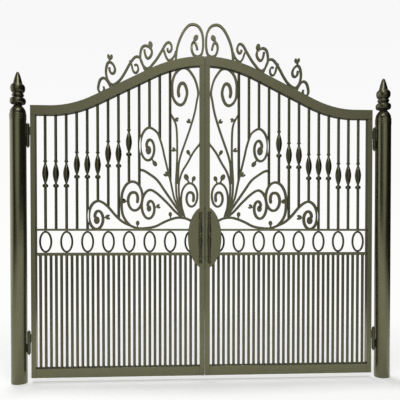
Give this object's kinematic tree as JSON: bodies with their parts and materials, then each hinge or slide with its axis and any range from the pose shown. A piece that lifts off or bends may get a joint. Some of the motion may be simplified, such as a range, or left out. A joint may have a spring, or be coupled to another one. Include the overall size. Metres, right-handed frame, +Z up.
{
  "type": "wrought iron driveway gate",
  "caption": "Double-leaf wrought iron driveway gate between round posts, with scrollwork, cast spindles, an oval ring band and close pickets; both leaves swing on pin hinges.",
  "frame": {"origin": "centre of the left post's foot, on the ground", "axes": "+X from the left post to the right post, +Y away from the side the leaves open to, +Z up"},
  "size_m": [3.271, 0.192, 3.0498],
  "materials": {
    "iron_paint": "satin",
    "cast_iron_paint": "satin"
  },
  "bodies": {
    "posts": {"left_post": "iron_paint", "right_post": "iron_paint", "left_finial": "cast_iron_paint", "right_finial": "cast_iron_paint", "left_hinge_pins": "cast_iron_paint", "right_hinge_pins": "cast_iron_paint"},
    "left_leaf": {"left_hinge_stile": "iron_paint", "left_meeting_stile": "iron_paint", "left_top_rail": "iron_paint", "left_bottom_rail": "iron_paint", "left_band_rails": "iron_paint", "left_band_rings": "cast_iron_paint", "left_lower_pickets": "iron_paint", "left_upper_bars": "iron_paint", "left_cast_spindles": "cast_iron_paint", "left_vine_scroll": "iron_paint", "left_c_scrolls": "iron_paint", "left_fan_stems": "iron_paint", "left_crown_scroll": "iron_paint", "left_inner_scroll": "iron_paint", "left_crest_arch": "iron_paint", "left_crest_scrolls": "iron_paint", "left_lock_plates": "iron_paint", "left_pull_handles": "cast_iron_paint", "left_hinge_barrels": "cast_iron_paint"},
    "right_leaf": {"right_hinge_stile": "iron_paint", "right_meeting_stile": "iron_paint", "right_top_rail": "iron_paint", "right_bottom_rail": "iron_paint", "right_band_rails": "iron_paint", "right_band_rings": "cast_iron_paint", "right_lower_pickets": "iron_paint", "right_upper_bars": "iron_paint", "right_cast_spindles": "cast_iron_paint", "right_vine_scroll": "iron_paint", "right_c_scrolls": "iron_paint", "right_fan_stems": "iron_paint", "right_crown_scroll": "iron_paint", "right_inner_scroll": "iron_paint", "right_crest_arch": "iron_paint", "right_crest_scrolls": "iron_paint", "right_lock_plates": "iron_paint", "right_pull_handles": "cast_iron_paint", "right_hinge_barrels": "cast_iron_paint"}
  },
  "joints": [
    {"name": "left_leaf_swing", "type": "hinge", "parent": "posts", "child": "left_leaf", "pos_m": [0.0865, -0.02, 0.3], "axis": [0, 0, -1], "range_deg": [0, 100]},
    {"name": "right_leaf_swing", "type": "hinge", "parent": "posts", "child": "right_leaf", "pos_m": [3.0465, -0.02, 0.3], "axis": [0, 0, 1], "range_deg": [0, 100]}
  ]
}
